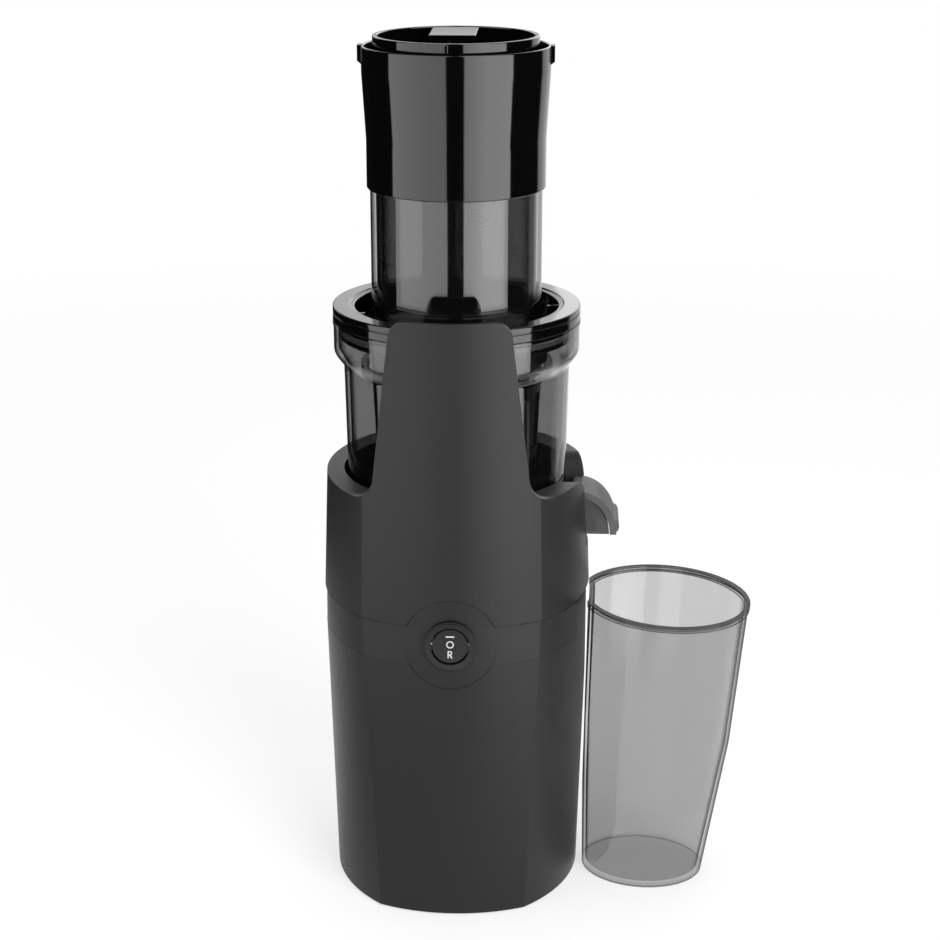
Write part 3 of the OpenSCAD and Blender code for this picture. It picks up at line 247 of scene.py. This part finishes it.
def soft_rubber(name, tone, roughness=0.7):
    """Dull rubber or silicone with a fine speckle."""
    material, nodes, shader = new_material(name)
    speckle = noise(nodes, scale=700, detail=3)
    cloud = noise(nodes, scale=30, detail=3)
    mottle(nodes, shader, cloud, tone, darkest=0.85, lightest=1.15)
    vary_roughness(nodes, shader, speckle, GRAIN_SPAN, roughness - 0.06, roughness + 0.06)
    set_bump(nodes, shader, speckle, strength=0.2, depth=0.00015)
    return material


def grey(value):
    """Grey with a trace of blue."""
    return (value, value, value * 1.01)


# Heights in mm where the cup closes up: the floor and the rim's bead are thick plastic, the line round the
# foot and the band under the bead are painted shade
CUP_THICK_AND_SHADE_BANDS = [
    (-1, 3.2, 0.34),  # floor
    (0.45, 1.2, 0.9),  # painted shade: dark line round the foot
    (159.3, 160.1, 0.93),  # painted shade under the rim's bead
    (160.1, 161.5, 0.5),  # side of the bead
    (161.5, 164, 0.88)]  # top of the bead

body_plastic = grained_plastic("body_plastic", grey(0.011), roughness=0.44, gloss=0.23)
base_plastic = grained_plastic("base_plastic", grey(0.006), roughness=0.5)
switch_plastic = gloss_plastic("switch_plastic", grey(0.012), roughness=0.16)
gloss_black = gloss_plastic("gloss_black", grey(0.0015))
smoky_clear = clear_plastic("smoky_clear", grey(0.004), face_alpha=0.4, edge_alpha=0.94, ior=1.95)
pale_smoky_clear = clear_plastic(
    "pale_smoky_clear", grey(0.015), face_alpha=0.24, edge_alpha=0.9, ior=2.0, closing=(0.5, 0.8))
hood_clear = clear_plastic(
    "hood_clear", grey(0.11), face_alpha=0.84, edge_alpha=0.97, ior=1.5, even_gloss=0.045)
spout_clear = clear_plastic("spout_clear", grey(0.07), face_alpha=0.86, edge_alpha=0.97, ior=1.38)
cup_clear = clear_plastic(
    "cup_clear", grey(0.01), face_alpha=0.23, edge_alpha=0.86, ior=1.5, closing=(0.66, 0.92),
    thick_and_shade_bands=CUP_THICK_AND_SHADE_BANDS, even_gloss=0.04)
auger_plastic = grained_plastic("auger_plastic", grey(0.006), roughness=0.35)
white_nylon = grained_plastic("white_nylon", (0.7, 0.7, 0.66), roughness=0.4)
mark_paint = grained_plastic("mark_paint", (0.5, 0.5, 0.51), roughness=0.5)
black_rubber = soft_rubber("black_rubber", grey(0.02))
grey_silicone = soft_rubber("grey_silicone", grey(0.16), roughness=0.45)
bright_steel = metal("bright_steel", (0.6, 0.61, 0.63), roughness=0.28)
motor_metal = metal("motor_metal", (0.2, 0.21, 0.23), roughness=0.4)
circuit_board = gloss_plastic("circuit_board", (0.02, 0.09, 0.04), roughness=0.25)
mesh_steel = metal("mesh_steel", (0.03, 0.03, 0.032), roughness=0.45)

SLOT_MATERIALS = {
    "body_plastic": body_plastic,
    "base_plastic": base_plastic,
    "gloss_black": gloss_black,
    "smoky_clear": smoky_clear,
    "pale_smoky_clear": pale_smoky_clear,
    "auger_plastic": auger_plastic,
    "nylon": white_nylon,
    "mark_paint": mark_paint,
    "rubber": black_rubber,
    "silicone": grey_silicone,
    "steel": bright_steel,
    "motor_metal": motor_metal,
    "circuit_board": circuit_board,
}
node_slot = {row["node"]: row["material_slot"] for row in frame["record"]["subparts"]}
for node_name, node_object in frame["nodes"].items():
    node_object.data.materials.clear()
    node_object.data.materials.append(SLOT_MATERIALS[node_slot[node_name]])

# Making pieces
CREASE = 32  # degrees: edges that turn more stay crisp
WELD_MM = 1e-4
ROUND_STEPS = 160  # steps of a full turn
ARC_STEP = 18  # degrees, in a rounded corner
SIDE_SHARE = 0.49  # how much of a side one rounded corner takes at most


def finish_mesh(name, bm, node, sharp=CREASE, scale=MM, weld=WELD_MM, material=None, soften=None):
    """Makes a piece of the bmesh that stands for a CAD node and moves with its body."""
    bmesh.ops.remove_doubles(bm, verts=bm.verts, dist=weld)
    bmesh.ops.recalc_face_normals(bm, faces=bm.faces)
    for face in bm.faces:
        face.smooth = True
    for edge in bm.edges:
        edge.smooth = edge.calc_face_angle(0) < math.radians(sharp)
    if soften:
        soften(bm)
    bmesh.ops.scale(bm, vec=(scale,) * 3, verts=bm.verts)
    mesh = bpy.data.meshes.new(name)
    bm.to_mesh(mesh)
    bm.free()
    piece = bpy.data.objects.new(name, mesh)
    bpy.context.scene.collection.objects.link(piece)
    slot = node_slot[node]
    mesh.materials.append(material or SLOT_MATERIALS[slot])
    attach(piece, frame["nodes"][node]["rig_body"])
    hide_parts(node)
    weighted = piece.modifiers.new("shading", "WEIGHTED_NORMAL")
    weighted.keep_sharp = True


def smooth_copy(node, name, sharp=CREASE, material=None, soften=None, add=None):
    """Makes a merged, smooth-shaded copy of a CAD node's own form."""
    cad_weld = 0.002 * MM
    flat_within = math.radians(0.3)
    bm = bmesh.new()
    bm.from_mesh(frame["nodes"][node].data)
    bmesh.ops.remove_doubles(bm, verts=bm.verts, dist=cad_weld)
    bmesh.ops.dissolve_limit(bm, angle_limit=flat_within, verts=bm.verts, edges=bm.edges)
    if add:
        add(bm)
    finish_mesh(name, bm, node, sharp, scale=1, weld=WELD_MM * MM, material=material, soften=soften)


def add_block(bm, size, centre, turn=0.0):
    """Adds a block, turned about the drive axis."""
    place = Matrix.Rotation(turn, 4, "Z") @ Matrix.Translation(centre) @ Matrix.Diagonal((*size, 1))
    return bmesh.ops.create_cube(bm, size=1, matrix=place)["verts"]


def rounded(corners):
    """A closed profile in which each (r, z, radius) corner is rounded; radius 0 keeps it sharp."""
    points = []
    count = len(corners)
    for i, (r, z, radius) in enumerate(corners):
        here = Vector((r, z))
        if radius <= 0:
            points.append((r, z))
            continue
        before = Vector(corners[i - 1][:2]) - here
        after = Vector(corners[(i + 1) % count][:2]) - here
        half = before.angle(after) / 2
        reach = min(radius / math.tan(half), before.length * SIDE_SHARE, after.length * SIDE_SHARE)
        radius = reach * math.tan(half)
        middle = here + (before.normalized() + after.normalized()).normalized() * (radius / math.sin(half))
        start = here + before.normalized() * reach - middle
        end = here + after.normalized() * reach - middle
        sweep = start.angle_signed(end)
        steps = max(2, round(abs(math.degrees(sweep)) / ARC_STEP))
        for k in range(steps + 1):
            turned = start.copy()
            turned.rotate(Matrix.Rotation(-sweep * k / steps, 2))
            points.append(tuple(middle + turned))
    return points


def spin_profile(profile, bm=None, centre_x=0.0):
    """Turns a closed (r, z) profile round an upright axis, in the given bmesh or a new one."""
    if bm is None:
        bm = bmesh.new()
    verts = [bm.verts.new((centre_x + r, 0, z)) for r, z in profile]
    edges = [bm.edges.new((verts[i - 1], verts[i])) for i in range(len(verts))]
    bmesh.ops.spin(bm, geom=verts + edges, cent=(centre_x, 0, 0), axis=(0, 0, 1), angle=2 * math.pi,
                   steps=ROUND_STEPS, use_merge=True)
    return bm


# Body
PANEL_CREASE = 7  # degrees: the panels' corner edges stay crisp, their bows smooth


def outer_edge(edge):
    """Whether the edge is sharp and exactly one side of it is the motor body's outer surface."""
    most_lean, least_outward, least_angle = 0.4, 0.6, math.radians(50)
    middle = (edge.verts[0].co + edge.verts[1].co) / 2
    outward = Vector((middle.x, middle.y, 0)).normalized()
    outer = [face for face in edge.link_faces
             if abs(face.normal.z) < most_lean and face.normal.dot(outward) > least_outward]
    return len(outer) == 1 and edge.calc_face_angle(0) > least_angle


def soften_seam(bm):
    """Rounds the housing's outer edge along the seam and its arc over the switch."""
    seam_low, seam_high = 166.5 * MM, 184 * MM
    rounding = 0.35 * MM
    picked = [edge for edge in bm.edges
              if outer_edge(edge) and all(seam_low < vert.co.z < seam_high for vert in edge.verts)]
    made = bmesh.ops.bevel(bm, geom=picked, offset=rounding, offset_type="OFFSET", affect="EDGES",
                           segments=3, profile=0.5, clamp_overlap=False, material=-1)
    rounded_faces = set(made["faces"])
    for face in rounded_faces:
        face.smooth = True
        for edge in face.edges:
            edge.smooth = all(side in rounded_faces for side in edge.link_faces)


def add_slot_linings(bm):
    """Fills the hollow that shows behind the rounded top corners of both outlet slots."""
    foot_z, inner_y, outer_y = 216.0, 17.5, 22.0
    arc_y, arc_z, arc_radius = 29.25, 217.0, 14.95
    arc_from, arc_step, arc_points = 119, 3.8, 7  # the first two in degrees
    well_wall_x = 59.0
    outline = [(inner_y, foot_z), (outer_y, foot_z)]
    for step in range(arc_points):
        angle = math.radians(arc_from + step * arc_step)
        outline.append((arc_y + arc_radius * math.cos(angle), arc_z + arc_radius * math.sin(angle)))
    for slot_turn, shell_inside_x in ((0, 64.8), (90, 67.8)):
        turned = Matrix.Rotation(math.radians(slot_turn), 4, "Z")
        for side in (-1, 1):
            corners = [turned @ Vector((well_wall_x, side * y, z)) * MM for y, z in outline]
            lining = bm.faces.new([bm.verts.new(corner) for corner in corners])
            grown = bmesh.ops.extrude_face_region(bm, geom=[lining])
            far_verts = [item for item in grown["geom"] if isinstance(item, bmesh.types.BMVert)]
            depth = turned @ Vector((shell_inside_x - well_wall_x, 0, 0)) * MM
            bmesh.ops.translate(bm, vec=depth, verts=far_verts)


smooth_copy("lower_shell", "lower_body", sharp=PANEL_CREASE)
smooth_copy("upper_housing", "upper_body", sharp=PANEL_CREASE, soften=soften_seam, add=add_slot_linings)
smooth_copy("bottom_cover", "bottom_plate", sharp=PANEL_CREASE)
for node_name in ("switch_body", "cord_bushing", "rubber_feet", "rest_pad"):
    smooth_copy(node_name, node_name + "_smooth")
for node_name in ("switch_bezel", "rocker"):
    smooth_copy(node_name, node_name + "_smooth", material=switch_plastic)

# Drum and what is inside it
for node_name in ("drum", "strainer_frame", "brush_carrier", "auger_screw", "auger_hub", "brush_wipers",
                  "pulp_outlet", "pulp_flap"):
    smooth_copy(node_name, node_name + "_smooth")
smooth_copy("juice_spout", "spout_channel", material=spout_clear)
smooth_copy("spout_cap", "spout_hood", material=hood_clear)
smooth_copy("strainer_mesh", "strainer_sheet", material=mesh_steel)

# Lid, chute, sleeve and pusher: radii and heights in mm
CHUTE_INSIDE, CHUTE_OUTSIDE = 41.5, 44.5
CHUTE_FOOT, CHUTE_TOP = 308.4, 448.0
PUSHER_FLOOR, CAP_FLOOR = 313.0, 448.3
NEAR_AXIS = 0.01  # where a closed floor's profile starts


def make_lid():
    """Gloss ring with a flat top band, a ribbed trough round the chute and a skirt with a seal groove."""
    band_out, band_top, band_foot = 65.0, 322.0, 314.0
    line_in, line_top, line_foot = 64.2, 318.9, 318.1
    skirt_in, skirt_out, skirt_foot = 59.3, 61.7, 305.0
    groove_in, groove_top, groove_foot = 60.5, 311.1, 307.9
    trough_in, trough_out, trough_foot, trough_top = 53.5, 55.7, 306.0, 321.0
    step_in, step_foot, step_out = 55.8, 321.3, 56.5
    outline = rounded([
        (CHUTE_INSIDE, trough_foot, 0.3), (CHUTE_INSIDE, CHUTE_FOOT, 0.3), (trough_in, CHUTE_FOOT, 0.6),
        (trough_in, trough_top, 0.6), (step_in, step_foot, 0.3), (step_out, band_top, 0.3),
        (band_out, band_top, 1.0), (band_out, line_top, 0.25), (line_in, line_top, 0.1),
        (line_in, line_foot, 0.1), (band_out, line_foot, 0.25), (band_out, band_foot, 0.4),
        (skirt_out, band_foot, 0.1), (skirt_out, groove_top, 0.2), (groove_in, groove_top, 0.2),
        (groove_in, groove_foot, 0.2), (skirt_out, groove_foot, 0.2), (skirt_out, skirt_foot, 0.6),
        (skirt_in, skirt_foot, 0.6), (skirt_in, band_foot, 0.5), (trough_out, band_foot, 0.5),
        (trough_out, trough_foot, 0.5)])
    rib_count, first_rib = 8, 12
    rib_size, rib_centre = (5.1, 1.6, 9.7), (51.05, 0, 313.15)
    bm = spin_profile(outline)
    for rib in range(rib_count):
        add_block(bm, rib_size, rib_centre, math.radians(rib * 360 / rib_count + first_rib))
    finish_mesh("lid_ring", bm, "lid")


def make_chute():
    """Clear tube that stands on a foot ring with a hollow fillet."""
    foot_out, foot_top = 47.0, 310.4
    outline = rounded([
        (CHUTE_INSIDE, CHUTE_FOOT, 0), (foot_out, CHUTE_FOOT, 0.2), (foot_out, foot_top, 0.3),
        (CHUTE_OUTSIDE, foot_top, 2.3), (CHUTE_OUTSIDE, CHUTE_TOP, 0.6), (CHUTE_INSIDE, CHUTE_TOP, 0.6)])
    finish_mesh("clear_chute", spin_profile(outline), "feed_chute")


def make_sleeve():
    """Gloss sleeve that flares upwards, with an ear at each side of its top."""
    foot, flare_foot, inner_flare_foot, flare_top, top = 383.0, 408.0, 414.0, 442.0, 455.0
    narrow_out, wide_in, wide_out = 46.2, 46.6, 48.2
    outline = rounded([
        (CHUTE_OUTSIDE, foot, 0.3), (narrow_out, foot, 0.9), (narrow_out, flare_foot, 30),
        (wide_out, flare_top, 30), (wide_out, top, 0.75), (wide_in, top, 0.75), (wide_in, flare_top, 20),
        (CHUTE_OUTSIDE, inner_flare_foot, 5)])
    ear_size, ear_x, ear_z, ear_slope = (2.0, 8.0, 9.5), 49.0, 450.25, 1.6
    bm = spin_profile(outline)
    for side in (-1, 1):
        ear = add_block(bm, ear_size, (side * ear_x, 0, ear_z))
        outer_foot = [vert for vert in ear if vert.co.z < ear_z and abs(vert.co.x) > ear_x]
        bmesh.ops.translate(bm, vec=(0, 0, ear_slope), verts=outer_foot)
    finish_mesh("gloss_sleeve", bm, "chute_sleeve")


def make_pusher_tube():
    """Clear tube with a closed floor."""
    foot, tube_in, tube_out = 310.0, 39.0, 41.2
    outline = rounded([
        (NEAR_AXIS, foot, 0), (tube_out, foot, 2), (tube_out, CAP_FLOOR, 0.3), (tube_in, CAP_FLOOR, 0.3),
        (tube_in, PUSHER_FLOOR, 1.5), (NEAR_AXIS, PUSHER_FLOOR, 0)])
    finish_mesh("clear_pusher", spin_profile(outline), "pusher_tube")


def make_pusher_grip():
    """Gloss cap with the dark column under it and a stepped grip bar between two finger wells."""
    rim_in, rim_out, rim_top, floor_top = 39.8, 42.4, 460.0, 450.0
    cap = rounded([
        (NEAR_AXIS, CAP_FLOOR, 0), (rim_out, CAP_FLOOR, 0.3), (rim_out, rim_top, 0.6),
        (rim_in, rim_top, 0.6), (rim_in, floor_top, 1.5), (NEAR_AXIS, floor_top, 0)])
    column_x, column_in, column_out, column_top = -2.0, 13.8, 15.8, 449.0
    column = [(column_in, PUSHER_FLOOR), (column_out, PUSHER_FLOOR), (column_out, column_top),
              (column_in, column_top)]
    blocks = (
        ((24, 39.5, 10.2), (-2, 18.8, 454.6)),  # far half of the grip bar
        ((24, 37.0, 4.0), (-2, -19.5, 451.8)),  # its lower near half
        ((2.4, 38.5, 8.0), (-3, -20.2, 453.5)),  # web on the near half
        ((2.4, 2.0, 10.9), (-3, -41.8, 453.75)))  # web's end at the rim
    block_rounding = 0.5
    bm = spin_profile(cap)
    spin_profile(column, bm, column_x)
    for size, centre in blocks:
        block = add_block(bm, size, centre)
        block_edges = list({edge for vert in block for edge in vert.link_edges})
        bmesh.ops.bevel(bm, geom=block_edges, offset=block_rounding, offset_type="OFFSET", affect="EDGES",
                        segments=2, profile=0.5, material=-1)
    finish_mesh("pusher_grip", bm, "pusher_cap")


make_lid()
make_chute()
make_sleeve()
make_pusher_tube()
make_pusher_grip()

# Cup
smooth_copy("juice_cup", "clear_cup", material=cup_clear)


# Stage: floor, light and surroundings, lengths in metres
def flat_sheet(name, size, height):
    """A square sheet of the stage, with its material's nodes and the place and distance from its middle."""
    bm = bmesh.new()
    bmesh.ops.create_grid(bm, x_segments=2, y_segments=2, size=size)
    mesh = bpy.data.meshes.new(name)
    bm.to_mesh(mesh)
    bm.free()
    sheet = bpy.data.objects.new(name, mesh)
    sheet.location.z = height
    bpy.context.scene.collection.objects.link(sheet)
    material, nodes, shader = new_material(name)
    material.node_tree.nodes.remove(shader)
    mesh.materials.append(material)
    place = nodes.place()
    distance = nodes.add("ShaderNodeVectorMath", {0: place}, operation="LENGTH").outputs["Value"]
    return sheet, nodes, place, distance


def make_floor():
    """Pale floor that runs out into the white backdrop."""
    paint = (0.9, 0.9, 0.9, 1)
    floor, nodes, _, distance = flat_sheet("pale_floor", size=9, height=-0.0004)
    floor.visible_glossy = False
    seen = nodes.plain_view(nodes.add("ShaderNodeLightPath"))
    whiteness = nodes.ramp(distance, low=0.3, high=1.6, to_low=0.62, to_high=1.0)
    diffuse = nodes.add("ShaderNodeBsdfDiffuse", {"Color": paint}).outputs[0]
    glow = nodes.add("ShaderNodeEmission", {"Color": WHITE, "Strength": 1.0}).outputs[0]
    nodes.mix_surface(nodes.math("MULTIPLY", seen, whiteness), diffuse, glow)


def make_near_floor():
    """The lit floor round the machine, as gloss sees it; further out gloss sees the studio's panels."""
    sheet, nodes, place, distance = flat_sheet("near_floor", size=0.8, height=-0.0008)
    for kind in ("camera", "diffuse", "transmission", "volume_scatter", "shadow"):
        setattr(sheet, "visible_" + kind, False)
    lit = nodes.ramp(distance, low=0.4, high=0.55, to_low=1.0, to_high=0.0)
    clear = nodes.add("ShaderNodeBsdfTransparent").outputs[0]
    split = nodes.add("ShaderNodeSeparateXYZ", {0: place})
    across = nodes.ramp(split.outputs["X"], low=-0.3, high=0.3, to_low=0.45, to_high=1.5)
    behind = nodes.ramp(split.outputs["Y"], low=-0.02, high=0.12, to_low=0.0, to_high=0.7)
    strength = nodes.math("ADD", across, behind)
    glow = nodes.add("ShaderNodeEmission", {"Color": WHITE, "Strength": strength}).outputs[0]
    nodes.mix_surface(lit, clear, glow)


def make_world():
    """White backdrop, and for gloss soft panels in front and behind with dark gaps between them."""
    fill_light, gap_light = 0.45, 0.008
    world = bpy.data.worlds.new("studio")
    bpy.context.scene.world = world
    world.use_nodes = True
    nodes = Nodes(world.node_tree)
    background = world.node_tree.nodes["Background"]
    direction = nodes.add("ShaderNodeTexCoord").outputs["Generated"]
    split = nodes.add("ShaderNodeSeparateXYZ", {0: direction})
    to_front = nodes.math("MULTIPLY", split.outputs["Y"], -1.0)
    turn = nodes.math("ARCTAN2", split.outputs["X"], to_front)

    # Degrees round the machine, 0 in front and more to the right, and degrees above the floor
    around = nodes.math("MULTIPLY", turn, 180 / math.pi)
    away = nodes.math("ABSOLUTE", around)
    rise = nodes.math("MULTIPLY", nodes.math("ARCSINE", split.outputs["Z"]), 180 / math.pi)

    left_light = nodes.ramp(around, low=-60.0, high=-10.0, to_low=2.8, to_high=2.3)
    left = nodes.math("MULTIPLY", nodes.band(around, low=-85.5, high=-9.5, soft=0.7), left_light)
    right_light = nodes.ramp(around, low=12.0, high=40.0, to_low=3.2, to_high=4.6)
    right = nodes.math("MULTIPLY", nodes.band(around, low=12.5, high=75.0, soft=0.7), right_light)
    behind_right = nodes.band(around, low=131.0, high=200.0, soft=3.0)
    behind = nodes.band(away, low=140.0, high=200.0, soft=10.0)
    raised = nodes.band(rise, low=6.0, high=34.0, soft=4.0, top=1.4)
    high_behind = nodes.math("MULTIPLY", behind, raised)
    gloss = gap_light
    for panel in (left, right, behind_right, high_behind):
        gloss = nodes.math("ADD", panel, gloss)

    path = nodes.add("ShaderNodeLightPath")
    unseen = nodes.blend(path.outputs["Is Glossy Ray"], fill_light, gloss)
    strength = nodes.blend(nodes.plain_view(path), unseen, 1.0)
    background.inputs["Color"].default_value = WHITE
    nodes.link(strength, background.inputs["Strength"])


def add_panel(name, location, size, watts):
    """A soft lamp that points at the machine and isn't mirrored in it."""
    lamp = bpy.data.lights.new(name, "AREA")
    lamp.shape = "RECTANGLE"
    lamp.size, lamp.size_y = size
    lamp.energy = watts
    panel = bpy.data.objects.new(name, lamp)
    panel.location = location
    panel.rotation_euler = (AIM - Vector(location)).to_track_quat("-Z", "Y").to_euler()
    panel.visible_glossy = False
    bpy.context.scene.collection.objects.link(panel)


make_floor()
make_near_floor()
make_world()
add_panel("left_panel", (-1.3, -1.2, 1.2), size=(1.1, 1.4), watts=8)
add_panel("right_panel", (1.0, -1.5, 1.1), size=(1.1, 1.4), watts=40)
add_panel("top_panel", (0.0, 0.4, 1.9), size=(1.6, 1.2), watts=18)

bpy.context.scene.view_settings.view_transform = "Standard"
